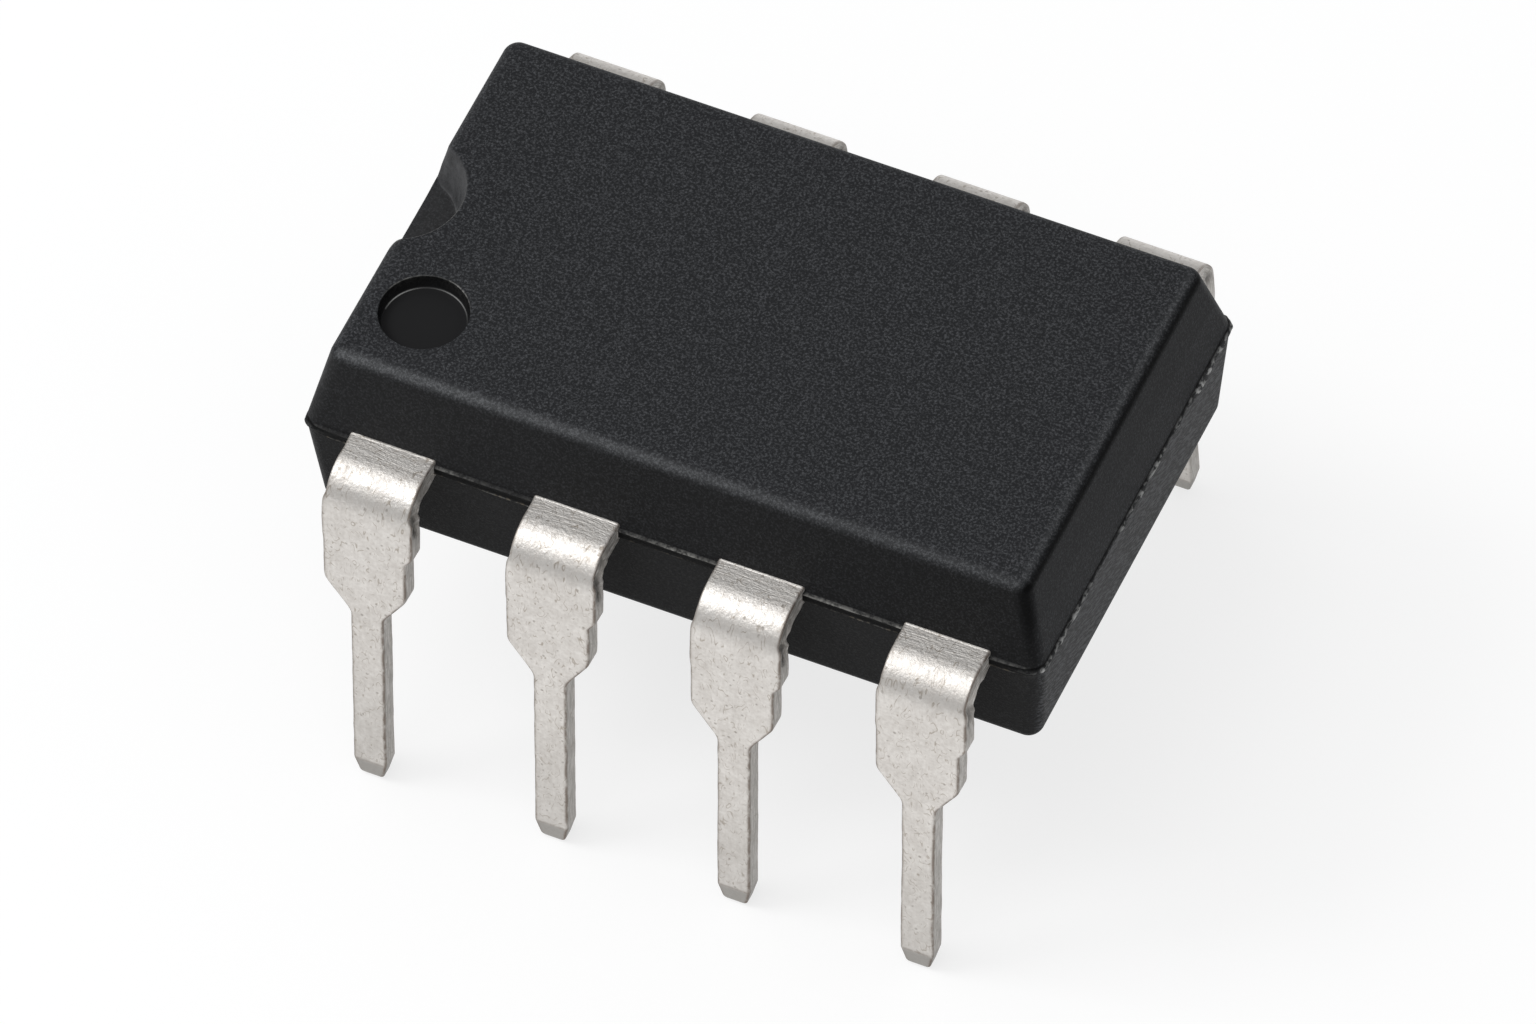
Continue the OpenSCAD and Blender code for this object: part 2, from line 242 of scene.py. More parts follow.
# A round recess: a profile of radius and depth turned about an upright axis. The profile has a rounded rim,
# a drafted wall, a fillet and a flat floor that ends in the middle. sign is 1 in the top face and -1 below
def roundRecess(shape, centre, height, sign):
    draft = math.radians(shape["draft"])
    rim, fillet, depth = shape["rim"], shape["fillet"], shape["depth"]
    turn = np.linspace(math.pi / 2, draft, 8)
    rimMiddle = shape["radius"] - rim * math.tan(draft) + rim / math.cos(draft)
    filletMiddle = shape["radius"] - (depth - fillet) * math.tan(draft) - fillet / math.cos(draft)
    flat = np.linspace(1, 0, 9)[1:]
    radius = np.concatenate([rimMiddle - rim * np.cos(turn), filletMiddle + fillet * np.cos(turn[::-1]),
                             filletMiddle * flat])
    drop = np.concatenate([rim - rim * np.sin(turn), depth - fillet + fillet * np.sin(turn[::-1]),
                           np.full(len(flat), depth)])
    angle = np.linspace(0, 2 * math.pi, shape["steps"], endpoint=False)
    x = centre[0] + radius[:, None] * np.cos(angle)
    y = centre[1] + radius[:, None] * np.sin(angle)
    z = height - sign * drop[:, None] + 0 * x
    faces = gridFaces(len(radius), len(angle), True)
    onFloor = ease(drop, depth * 0.7, depth)[:, None] + 0 * x
    hole = {"loop": np.stack([x[0], y[0]], axis=1), "centre": np.array(centre), "radius": radius[0]}
    return np.stack([x, y, z], axis=2), faces if sign > 0 else faces[:, ::-1], onFloor, hole


def makeBody():
    low, high = nodeBox("body")
    shape, notch = bodyShape, notchShape
    halfLength, halfWidth = high[:2] - shape["bandOut"]
    bandHalf = shape["bandHeight"] / 2
    half = high[2] - partingHeight
    lower = sideProfile(partingHeight - low[2], shape["draftBottom"], bandHalf, 14, 12)[:, ::-1]
    upper = sideProfile(half, shape["draftTop"], bandHalf, 22, 16)
    bandUp = np.linspace(-bandHalf, bandHalf, 31)
    bandUp[[0, -1]] *= 0.995  # the band's faces meet the drafted sides in a sharp step
    band = np.stack([np.where(bandUp > 0, np.interp(bandUp, [0, upper[1, 0]], [end, upper[k, 0]]),
                              np.interp(-bandUp, [0, lower[1, -1]], [end, lower[k, -1]]))
                     for k, end in ((0, 0), (2, shape["corner"]), (3, 90))])

    # The notch's profile above the band: a straight end, then the floor's rounded lip, the floor, its fillet,
    # the drafted wall and the rounded rim, each with its own height, notch radius and share of the notch
    floorUp = half - notch["depth"]
    draft = math.radians(notch["draft"])

    def wallRadius(up):
        return notch["radius"] - (half - up) * math.tan(draft)

    footRadius = wallRadius(floorUp + notch["fillet"]) - notch["fillet"] / math.cos(draft)
    lipTurn = np.linspace(0, math.pi / 2, 5)
    filletTurn = np.linspace(0, math.pi / 2 - draft, 7)[1:]
    rimTurn = np.linspace(draft, math.pi / 2, 16)
    lipCut = notch["lip"] * (1 - np.cos(lipTurn)) / (2 * footRadius)
    floorCut = np.linspace(lipCut[-1], 1, 14)[1:]
    rimMiddle = wallRadius(half - notch["rim"]) + notch["rim"] / math.cos(draft)
    filletUp = floorUp + notch["fillet"] * (1 - np.cos(filletTurn))
    rimUp = half - notch["rim"] * (1 - np.sin(rimTurn))

    below = int(np.searchsorted(upper[1], floorUp))
    floorRings = len(lipTurn) + len(floorCut)
    atFloor = np.array([np.interp(floorUp, upper[1], v) for v in upper])[:, None]
    wallRings = upper.shape[1] - below - len(filletTurn) - len(rimTurn)
    wallUp = np.linspace(filletUp[-1], rimUp[0], wallRings + 2)[1:-1]
    rings = np.concatenate([lower * [[1], [-1], [1], [1]], np.insert(band, 1, bandUp, axis=0), upper[:, :below],
                            np.repeat(atFloor, floorRings, axis=1), upper[:, below:]], axis=1)
    underLip = bandHalf + (upper[1, :below] - bandHalf) * (floorUp - notch["lip"] - bandHalf) / (floorUp - bandHalf)
    straightUp = np.concatenate([-lower[1], bandUp, underLip])
    notchUp = np.concatenate([straightUp, floorUp - notch["lip"] * (1 - np.sin(lipTurn)),
                              np.full(len(floorCut), floorUp), filletUp, wallUp, rimUp])
    notchRadius = np.concatenate([np.full(len(straightUp) + len(lipTurn) + len(floorCut), footRadius),
                                  footRadius + notch["fillet"] * np.sin(filletTurn), wallRadius(wallUp),
                                  rimMiddle - notch["rim"] * np.cos(rimTurn)])
    cut = np.concatenate([np.zeros(len(straightUp)), lipCut, floorCut,
                          np.ones(len(filletTurn) + len(wallUp) + len(rimTurn))])
    out, up, corner, lean, notchUp, notchRadius, cut = [v[:, None] for v in (*rings, notchUp, notchRadius, cut)]
    x, y, inNotch, onLongSide, corners = bodyOutlines(halfLength + out, halfWidth + out, corner, notchRadius,
                                                      cut, halfLength)
    z = partingHeight + up * (1 - inNotch) + notchUp * inNotch

    # The band stands out of the long sides, with a ragged lip along each of its edges. Round the ends it
    # shrinks to one line of flash, and two corners have a small tip of it
    count = x.shape[1]
    bandRows = slice(lower.shape[1], lower.shape[1] + len(bandUp))
    parting = lower.shape[1] + len(bandUp) // 2
    along = np.stack([np.roll(v[parting], -1) - np.roll(v[parting], 1) for v in (x, y)])
    along /= np.linalg.norm(along, axis=0)
    sides = soften(onLongSide, 4, True)
    drift = smoothNoise(count, 9, shape["seed"], True)
    ragged = [smoothNoise(count, 1.6, shape["seed"] + k, True) for k in (1, 2, 3)]
    h = bandUp[:, None]
    lipAt = bandHalf - 1.2 * shape["lipWidth"]
    upperLip = np.clip(0.8 + 0.12 * ragged[0] + 0.2 * drift, 0.1, 1.5) * bell(h, lipAt, shape["lipWidth"])
    lowerLip = np.clip(0.6 + 0.2 * ragged[1] - 0.2 * drift, 0, 1.5) * bell(h, -lipAt, shape["lipWidth"])
    plateau = shape["bandOut"] - 0.5 * shape["lipOut"] - out[bandRows]
    longOut = plateau * ease(bandHalf - np.abs(h), 0, 0.008) + shape["lipOut"] * (upperLip + lowerLip)
    flash = np.clip(0.7 + 0.3 * ragged[2] + 0.2 * drift, 0.15, 1.4) * bell(h + 0.004 * drift, 0, shape["flashWidth"])
    groove = bell(h, 2.8 * shape["flashWidth"], 1.1 * shape["flashWidth"]) * (1 - sides)
    tips = sum(bell((np.arange(count) - c + count / 2) % count, count / 2, 3) for c in corners)
    bump = np.sqrt(np.clip(1 - (h / shape["cornerTipHigh"]) ** 2, 0, 1))
    extra = longOut * sides + shape["flashOut"] * flash * (1 - sides) * (1 - tips) + shape["cornerTip"] * tips * bump
    extra -= 0.3 * shape["flashOut"] * groove
    x[bandRows] += along[1] * extra
    y[bandRows] -= along[0] * extra

    shell = np.stack([x, y, z], axis=2)
    masks = {key: np.zeros_like(x) for key in ("ridge", "paintedLight", "lip", "flash", "tan", "side", "shade", "polish", "drawn")}
    front, right = ease(along[0], 0.6, 0.95), ease(along[1], 0.6, 0.95)  # where the sides look to -y and to +x
    facing = np.degrees(np.arctan2(-along[0], along[1]))
    above = (up > half / 2) * (1 - inNotch)
    # Painted highlight along the rounded top edges: strongest on the front edge and fading to the right, weaker on the
    # right end, faint at the back and left
    masks["ridge"] += above * (front * (0.74 - 0.07 * x) * bell(lean, 38, 14) + 0.4 * right * bell(lean, 22, 9)
                               + 0.08 * (1 - front - right).clip(0, 1) * bell(lean, 35, 16))
    masks["shade"] += above * right * bell(lean, 56, 12)
    masks["shade"] += (up > bandHalf) * bell(facing, -45, 22) * ease(lean, 35, 60) * (0.3 + 0.7 * ease(up, 0, 0.9))
    masks["shade"][bandRows] += np.clip(sides * bell(h, 0.01, 0.035) + 1.2 * groove, 0, 1)
    # Painted highlights on the band: its lips are painted pale where they catch the light, and the flash round the
    # ends is pale flash painted brighter on the right end, so partly its own colour and partly painted light. The
    # lower lip's tan is its own colour
    masks["lip"][bandRows] = np.clip((0.75 * upperLip ** 2 + 0.8 * lowerLip ** 2) * sides, 0, 1)
    masks["flash"][bandRows] = np.clip(1.2 * flash * (1 - sides) * (0.15 + 0.85 * right), 0, 1)
    masks["tan"][bandRows] = np.clip(lowerLip * sides, 0, 1)
    # The drafted sides and the recess walls take the side colour and fainter grain; the right end is mostly left out,
    # so it keeps the face's lighter colour and full grain, partly as painted light
    masks["side"] += ease(lean, 40, 75) * (1 - np.where(up < 0, 1, 0.7) * right)
    masks["shade"] += (0.3 + 0.45 * right) * ease(lean, 40, 75) * (up < 0)
    masks["drawn"] += right * ease(lean, 40, 75) * (up < 0)
    onWall = inNotch * (cut > 0.02) * ease(half - notchUp, 0, 0.03)
    masks["side"] = np.maximum(masks["side"] * (1 - inNotch), onWall)
    # Painted light in the notch: its wall is painted lighter, most on its back half, its floor a little, and its rim
    # and floor seam get thin painted highlights towards the front
    rimLine = bell(notchUp, half - 0.5 * notch["rim"], 0.15 * notch["rim"])
    seamLine = bell(notchUp, floorUp + 0.25 * notch["fillet"], 0.12 * notch["fillet"])
    toFront = ease(-y, -0.3, 0.3)  # the light from the left falls on the notch's back half
    seamLine = seamLine * (1 - ease(y, 0.15, 0.5))
    masks["lip"] += inNotch * (0.8 * rimLine * toFront + 0.25 * seamLine) * (cut > 0.99)
    masks["paintedLight"] += onWall * np.where(notchUp > floorUp + 0.01, 0.8 - 0.5 * toFront, 0.18)
    # Painted light: the rounded front-left corner, the upper part of the right end and the left of the front side are
    # painted lighter, and the right of the front side gets painted shade
    masks["paintedLight"] += above * 0.3 * bell(facing, -152, 13) * ease(lean, 40, 70)
    upperSide = (up > bandHalf) * ease(lean, 60, 75) * (1 - inNotch)
    masks["paintedLight"] += upperSide * (0.14 * right + 0.08 * front * ease(-x, 0.5, 4))
    masks["shade"] += upperSide * 0.2 * front * ease(x, 0, 4)
    print("body outline:", count, "points,", len(x), "rings")

    dimpleCentre = (dimpleShape["fromEnd"] - halfLength, dimpleShape["fromSide"] - halfWidth)
    dimple, dimpleFaces, onFloor, dimpleHole = roundRecess(dimpleShape, dimpleCentre, high[2], 1)
    fromCentre = dimple[:, :, :2] - dimpleCentre
    turned = np.degrees(np.arctan2(fromCentre[:, :, 1], fromCentre[:, :, 0]))
    fromAxis = np.linalg.norm(fromCentre, axis=2)
    # Painted highlights in the dimple: a thin line along the seam of its floor and one on its rim, each on two
    # stretches of the circle; they go into the flash and lip colours, and its wall gets painted shade
    arc = bell(fromAxis, dimpleShape["seam"], 0.004) * (bell(turned, 152, 17) + 0.6 * bell(turned, 66, 20))
    rimLight = bell(fromAxis, dimpleShape["rimLight"], 0.004) * (bell(turned, 62, 16) + 0.5 * bell(turned, 140, 22))
    onWall = ease(high[2] - dimple[:, :, 2], 0, 0.02)
    marks = [roundRecess(markShape, (side * markShape["spacing"] / 2, 0), low[2], -1) for side in (-1, 1)]
    top, topFaces = flatFill(shell[-1, :, :2], [dimpleHole], high[2], True, 0.3)
    under, underFaces = flatFill(shell[0, :, :2], [m[3] for m in marks], low[2], False, 0.4)

    def values(points, **given):
        empty = np.zeros(points.size // 3)
        return {key: given.get(key, empty).ravel() for key in masks}

    surfaces = [
        (shell, [gridFaces(len(x), count, True)], values(shell, **masks)),
        (dimple, [dimpleFaces], values(dimple, side=onWall, polish=onFloor, lip=rimLight, flash=arc,
                                         shade=onWall * (1 - onFloor))),
        (top, [topFaces], values(top)),
        (under, [underFaces], values(under)),
    ]
    surfaces += [(m[0], [m[1]], values(m[0], side=0.5 * ease(m[0][:, :, 2] - low[2], 0, 0.02))) for m in marks]
    piece = joinSurfaces("bodyShell", surfaces, 42)
    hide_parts("body")
    return piece


# A lead: a stamped strip, bent down, with the stub of the dam bar at its bend, a shoulder and a narrow leg
leadShape = {
    "pitch": 2.54, "bend": 0.29, "splay": 4, "shelf": 0.59, "seat": 0.12,
    "stubTop": -0.17, "stubFoot": 0.44, "stubStep": 0.13, "stubRight": 0.64, "stubLeft": 0.612,
    "shoulderRight": 0.55, "shoulderLeft": 0.6, "shoulderFoot": 1.28, "taper": 0.5, "round": 0.05,
    "leg": 0.23, "tipHeight": 0.34, "tipHalf": 0.152, "tipThickness": 0.16, "endRound": 0.1,
    "edge": 0.034, "wobble": 0.002, "trough": 0.02, "pocket": 0.055, "pocketAt": -0.07, "burr": 0.014,
    "lip": 0.005, "lipFromStart": 0.1, "seed": 40,
}
innerShape = {"rootIn": 0.62, "lock": 0.15, "finger": 0.44, "endFingerY": 0.72, "midFingerX": 0.85,
              "padLength": 3.1, "padWidth": 2.1, "gap": 0.25, "stitchIn": 0.18}


# Middle line of the strip seen from its end: flat, then an arc, then the leg. Each station has its distance
# below the bend (less than 0 before the bend's end), its place and the direction that the outer face looks in
def leadStations(startY, bendY, bendZ, stripZ):
    shape = leadShape
    radius = shape["bend"] + stripThickness / 2
    splay = math.radians(shape["splay"])
    arcLength = radius * (math.pi / 2 - splay)
    legTop = bendZ + radius * math.sin(splay)
    legLength = legTop / math.cos(splay)
    flat = np.concatenate([np.linspace(0.48, 0.36, 5), np.linspace(0.355, 0.3, 12), np.linspace(0.29, 0, 12)])[:-1]
    flat = flat / 0.48 * (startY - bendY)
    turn = np.linspace(0, math.pi / 2 - splay, 34)[:-1]
    leg = np.concatenate([np.arange(0, 0.85, 0.016), np.arange(0.85, 2.05, 0.03),
                          np.linspace(2.05, legLength - 0.5, 46)[:-1], legLength - np.linspace(0.5, 0, 32) ** 1.2])
    s = np.concatenate([-arcLength - flat, radius * turn - arcLength, leg])
    y = np.concatenate([bendY + flat, bendY - radius * np.sin(turn),
                        bendY - radius * math.cos(splay) - leg * math.sin(splay)])
    z = np.concatenate([stripZ + 0 * flat, bendZ + radius * np.cos(turn), legTop - leg * math.cos(splay)])
    angle = np.concatenate([0 * flat, turn, math.pi / 2 - splay + 0 * leg])
    return s, y, z, -np.sin(angle), np.cos(angle), legLength


# Points round the strip's section, as factors of its size: x is across * (half width - edge) + acrossEdge * edge
# and the depth is through * (half thickness - edge) + throughEdge * edge. It goes round by the front face, the
# right side, the back and the left side
def sectionFactors():
    across = np.array([-1, -0.975, -0.94, -0.88, -0.78, -0.62, -0.4, -0.2, 0, 0.2, 0.4, 0.62, 0.78, 0.88, 0.94, 0.975])
    side = np.linspace(1, -1, 12)[1:-1]
    turn = np.radians(np.linspace(90, 0, 5))
    rows = [(a, 0, 1, 1) for a in across]
    rows += [(1, math.cos(t), 1, math.sin(t)) for t in turn]
    rows += [(1, 1, q, 0) for q in side]
    rows += [(1, math.cos(t), -1, -math.sin(t)) for t in turn[::-1]]
    rows += [(-a, 0, -1, -1) for a in across[1:]]
    rows += [(-1, -math.cos(t), -1, -math.sin(t)) for t in turn]
    rows += [(-1, -1, -q, 0) for q in side]
    rows += [(-1, -math.cos(t), 1, math.sin(t)) for t in turn[:0:-1]]
    return np.array(rows, float).T


# Half width of the strip on one side, for each station: the shelf, the stub, the shoulder, the taper and the
# leg are straight stretches with softened corners, and the tip's chamfer stays sharp
def halfWidth(s, legLength, stub, shoulder, seed):
    shape = leadShape
    foot = shape["shoulderFoot"]
    fine = np.arange(-2, legLength + 1, 0.004)
    knots = [(-2, shape["shelf"]), (shape["stubTop"] - 0.04, shape["shelf"]), (shape["stubTop"] + 0.03, stub),
             (shape["stubFoot"], stub), (shape["stubFoot"] + shape["stubStep"], shoulder), (foot, shoulder),
             (foot + shape["taper"], shape["leg"]), (legLength + 1, shape["leg"])]
    straight = np.interp(fine, *zip(*knots))
    soft = soften(straight, 4, False)
    softer = soften(straight, shape["round"] / 0.004, False)
    share = ease(fine, 0.8, 1.0)
    width = np.interp(s, fine, soft * (1 - share) + softer * share)
    wobble = np.interp(s, fine, 0.7 * smoothNoise(len(fine), 14, seed) + smoothNoise(len(fine), 45, seed + 1))
    tip = shape["leg"] - (shape["leg"] - shape["tipHalf"]) * (s - legLength + shape["tipHeight"]) / shape["tipHeight"]
    return np.minimum(width + shape["wobble"] * wobble * ease(s, -1.1, -0.9), tip)


# How far a side face lies from straight, for each station and each place through the thickness (front 1, back
# -1): a trough along the bend, a pocket where the dam bar tore, and burrs along the back edge
def sideRelief(s, depth, seed):
    shape = leadShape
    torn = smoothNoise(len(s), 2.2, seed)[:, None]
    alongBend = (ease(s, -1.02, -0.85) * (1 - ease(s, shape["stubTop"] - 0.03, shape["stubTop"] + 0.02)))[:, None]
    trough = -shape["trough"] * alongBend * (1 - depth ** 2) * (1 + 0.3 * torn)
    pocket = -shape["pocket"] * bell(s, shape["pocketAt"], 0.09)[:, None] * bell(depth, -0.15, 0.4)
    burrs = shape["burr"] * bell(depth, -0.85, 0.14) * alongBend * np.clip(0.8 + 0.5 * torn, 0, 2)
    crescent = shape["burr"] * 2 * bell(s, shape["stubTop"] - 0.02, 0.03)[:, None] * bell(depth, -0.75, 0.2)
    tear = 0.2 * shape["burr"] * torn * bell(s, shape["stubFoot"] + 0.04, 0.05)[:, None] * (depth < 0.7)
    return trough + pocket + burrs + crescent + tear


# Outline of a lead inside the body: the root with its two lock notches and the finger, which is a strip of
# one width along a line of points, mitred at its corners
def innerOutline(leadX, isEnd, startY, halfBody):
    shape = innerShape
    rootY = -(halfBody - shape["rootIn"])
    half = leadShape["shelf"]
    w = shape["finger"]
    if isEnd:
        endX = -(shape["padLength"] / 2 + shape["gap"])
        line = [(-leadX, rootY), (-leadX, -shape["endFingerY"] - 2.5 * w), (endX - 2 * w, -shape["endFingerY"]),
                (endX, -shape["endFingerY"])]
    else:
        endY = -(shape["padWidth"] / 2 + shape["gap"])
        line = [(-leadX, rootY), (-leadX, endY - 2 * w), (-shape["midFingerX"], endY - shape["stitchIn"]),
                (-shape["midFingerX"], endY)]
    line = np.array(line) + [leadX, 0]
    heading = np.diff(line, axis=0)
    heading /= np.linalg.norm(heading, axis=1)[:, None]
    left = np.stack([-heading[:, 1], heading[:, 0]], axis=1)
    mitre = np.concatenate([left[:1], left[:-1] + left[1:], left[-1:]])
    mitre /= np.linalg.norm(mitre, axis=1)[:, None]
    mitre[1:-1] /= (mitre[1:-1] * left[1:]).sum(axis=1)[:, None]
    turn = np.linspace(0, math.pi, 17)
    lockY = rootY - shape["rootIn"] / 2
    lock = np.stack([half - shape["lock"] * np.sin(turn), lockY - shape["lock"] * np.cos(turn)], axis=1)
    right = np.concatenate([[[half, startY]], lock, [[half, rootY]], line - mitre * w / 2])
    leftSide = np.concatenate([line[::-1] + mitre[::-1] * w / 2, [[-half, rootY]], lock[::-1] * [-1, 1],
                               [[-half, startY]]])
    return np.concatenate([right, leftSide])


# The strip of a lead outside the body, with its values at the points: strip is the place on the unrolled
# strip in millimetres, and the others are masks from 0 to 1
def stripSurface(startY, bendY, bendZ, seed):
    shape = leadShape
    half = stripThickness / 2
    s, y, z, normalY, normalZ, length = leadStations(startY, bendY, bendZ, partingHeight)
    across, acrossEdge, through, throughEdge = sectionFactors()
    widths = [halfWidth(s, length, shape["stub" + side], shape["shoulder" + side], seed + k)
              for k, side in enumerate(("Right", "Left"))]
    width = np.where(across > 0, widths[0][:, None], widths[1][:, None])
    coined = np.clip((s - length + shape["tipHeight"]) / shape["tipHeight"], 0, 1)[:, None]
    depthHalf = half - (half - shape["tipThickness"] / 2) * coined
    edge = shape["edge"] * (1 - 0.3 * coined)
    atEnd = np.clip(1 - (length - s) / shape["endRound"], 0, 1)[:, None]
    drawIn = shape["endRound"] * (1 - np.sqrt(1 - atEnd ** 2))  # the tip closes in a quarter round
    x = across * (width - edge - drawIn) + acrossEdge * edge
    depth = through * (depthHalf - edge - 0.6 * drawIn) + throughEdge * edge
    onSide = np.abs(acrossEdge) * (np.abs(across) == 1)
    relief = [sideRelief(s, depth / half, seed + k) for k in (4, 6)]
    x += np.sign(across) * np.where(across > 0, relief[0], relief[1]) * onSide * (1 - ease(coined, 0, 0.5))
    flatTop = (through > 0) * (normalZ > 0.99)[:, None]
    depth += shape["lip"] * bell(y, startY - shape["lipFromStart"], 0.009)[:, None] * flatTop
    level = ease(s, length - 0.4, length)[:, None]  # the end ring lies level on the ground
    py = y[:, None] + normalY[:, None] * depth
    pz = np.maximum(z[:, None] + normalZ[:, None] * depth * (1 - level), 0)
    points = np.stack([x, py, pz], axis=2)
    tipTop = length - shape["tipHeight"]
    rim = bell(width - np.abs(x), 0.014, 0.015) * (throughEdge > 0.1) * (1 - 0.3 * (across < 0))
    rim = np.maximum(rim, 0.5 * bell(s, tipTop, 0.012)[:, None])
    masks = {
        "strip": np.stack([x, s[:, None] + 0 * x, depth], axis=2),
        "side": onSide + 0 * x,
        "rim": rim,
        "shelf": 1 - ease(s, -0.78, -0.45)[:, None] + 0 * x,
        # stub marks the torn pocket, which the tin's colour fills with painted shade
        "stub": bell(s, shape["pocketAt"], 0.08)[:, None] * bell(depth / half, -0.1, 0.45) * onSide,
        "tip": (0.3 * ease(s, 1.9, tipTop) + 0.7 * ease(s, tipTop - 0.05, tipTop + 0.05))[:, None] + 0 * x,
    }

    # Both ends are closed by rings that shrink to their middle
    shrink = np.array([1, 0.7, 0.35])[:, None, None]
    points = np.concatenate([points[:1] + (points[:1].mean(axis=1, keepdims=True) - points[:1]) * shrink, points,
                             points[-1:] + (points[-1:].mean(axis=1, keepdims=True) - points[-1:]) * shrink[::-1]])
    masks = {key: np.concatenate([v[:1]] * 3 + [v] + [v[-1:]] * 3) for key, v in masks.items()}
    return points, gridFaces(len(points), points.shape[1], True)[:, ::-1], masks


# The flat stretch of a lead inside the body: its outline, raised to the strip's thickness
def innerSurface(outline, isMirrored):
    count = len(outline)
    half = stripThickness / 2
    points = np.concatenate([np.column_stack([outline, np.full(count, partingHeight + k * half)]) for k in (-1, 1)])
    ring = np.arange(count)
    walls = np.stack([ring, (ring + 1) % count, (ring + 1) % count + count, ring + count], axis=1)
    faces = [walls, ring[None, ::-1], ring[None] + count]
    return points, [f[:, ::-1] for f in faces] if isMirrored else faces


def makeLead(number):
    shape = leadShape
    low, high = nodeBox(f"lead_{number}")
    front = number <= 4
    column = (number - 1) % 4
    place = (column - 1.5) * shape["pitch"]
    splay = math.radians(shape["splay"])
    outer = shape["bend"] + stripThickness
    bendZ = partingHeight + stripThickness / 2 - outer
    length = (bendZ + outer * math.sin(splay)) / math.cos(splay)
    widest = -low[1] if front else high[1]  # the outer face just above the coined tip
    bendY = (length - shape["tipHeight"]) * math.sin(splay) + outer * math.cos(splay) - widest
    halfBody = nodeBox("body")[1][1] - bodyShape["bandOut"]
    startY = -(halfBody - shape["seat"])
    points, faces, masks = stripSurface(startY, bendY, bendZ, shape["seed"] + 10 * number)
    points = points + [place, 0, 0]
    masks["strip"] = masks["strip"] + [7.3 * number, 0, 0]  # no two leads show the same marks

    outline = innerOutline(abs(place), column in (0, 3), startY - 0.02, halfBody)
    outline = outline * [-1 if place > 0 else 1, 1] + [place, 0]
    inner, innerFaces = innerSurface(outline, place > 0)
    innerMasks = {key: np.zeros((len(inner), 3 if key == "strip" else 1)) for key in masks}
    innerMasks["strip"] = inner - [place, 0, partingHeight]
    turned = [1, 1, 1] if front else [-1, -1, 1]
    piece = joinSurfaces(f"formedLead{number}", [(points * turned, [faces], masks),
                                                 (inner * turned, innerFaces, innerMasks)], 50)
    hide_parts(f"lead_{number}")
    return piece


body = makeBody()
print("body:", len(body.data.polygons), "faces")
leads = [makeLead(n) for n in range(1, 9)]
print("leads:", sum(len(lead.data.polygons) for lead in leads), "faces")


# Adds a node and gives its inputs a value or a link
def addNode(tree, kind, settings, inputs):
    node = tree.nodes.new("ShaderNode" + kind)
    for key, value in settings.items():
        setattr(node, key, value)
    for key, value in inputs.items():
        if isinstance(value, bpy.types.NodeSocket):
            tree.links.new(value, node.inputs[key])
        else:
            node.inputs[key].default_value = value
    return node


def compute(tree, operation, *values):
    return addNode(tree, "Math", {"operation": operation}, dict(enumerate(values))).outputs[0]


# A value carried from the range low..high to 0..1, clamped
def remap(tree, value, low, high, start=0.0, end=1.0):
    inputs = {"Value": value, "From Min": low, "From Max": high, "To Min": start, "To Max": end}
    return addNode(tree, "MapRange", {}, inputs).outputs["Result"]


def noise(tree, vector, scale, detail=2.0, roughness=0.5):
    inputs = {"Vector": vector, "Scale": scale, "Detail": detail, "Roughness": roughness}
    return addNode(tree, "TexNoise", {}, inputs).outputs[0]


def stretch(tree, vector, scale):
    return addNode(tree, "Mapping", {}, {"Vector": vector, "Scale": scale}).outputs[0]


def mixColour(tree, factor, a, b):
    node = addNode(tree, "Mix", {"data_type": "RGBA"}, {})
    for index, value in ((0, factor), (6, a), (7, b)):
        if isinstance(value, bpy.types.NodeSocket):
            tree.links.new(value, node.inputs[index])
        else:
            node.inputs[index].default_value = value
    return node.outputs[2]


# An empty node group with the named inputs and outputs
def newGroup(name, inputs, outputs):
    group = bpy.data.node_groups.new(name, "ShaderNodeTree")
    for kind, names in (("INPUT", inputs), ("OUTPUT", outputs)):
        for socket, socketType in names:
            group.interface.new_socket(socket, in_out=kind, socket_type="NodeSocket" + socketType)
    return group, group.nodes.new("NodeGroupInput").outputs, group.nodes.new("NodeGroupOutput").inputs


def useGroup(tree, group, inputs):
    node = addNode(tree, "Group", {"node_tree": group}, {})
    for key, value in inputs.items():
        tree.links.new(value, node.inputs[key])
    return node.outputs


# Grain of a spark-eroded mould: the level lines of a soft noise, bent and broken up into short strokes, and
# finer pits. Millimetres
def makeGrainGroup():
    group, given, result = newGroup("mouldGrain", [("Place", "Vector")],
                                    [("Strokes", "Float"), ("Pits", "Float"), ("Height", "Float")])
    bend = addNode(group, "TexNoise", {}, {"Vector": given["Place"], "Scale": 9.0, "Detail": 1.0}).outputs[1]
    bent = addNode(group, "VectorMath", {"operation": "MULTIPLY_ADD"},
                   {0: bend, 1: (0.03, 0.03, 0.03), 2: given["Place"]}).outputs[0]
    field = compute(group, "PINGPONG", compute(group, "MULTIPLY", noise(group, bent, 46.0, 1.0), 2.0), 0.5)
    ridge = remap(group, field, 0.0, 0.3, 1.0, 0.0)
    gaps = remap(group, noise(group, given["Place"], 30.0, 1.0), 0.42, 0.68)
    strokes = compute(group, "MULTIPLY", ridge, gaps)
    pits = noise(group, given["Place"], 50.0, 2.0, 0.6)
    height = compute(group, "ADD", compute(group, "MULTIPLY", strokes, 0.8), pits)
    for key, value in (("Strokes", strokes), ("Pits", pits), ("Height", height)):
        group.links.new(value, result[key])
    return group


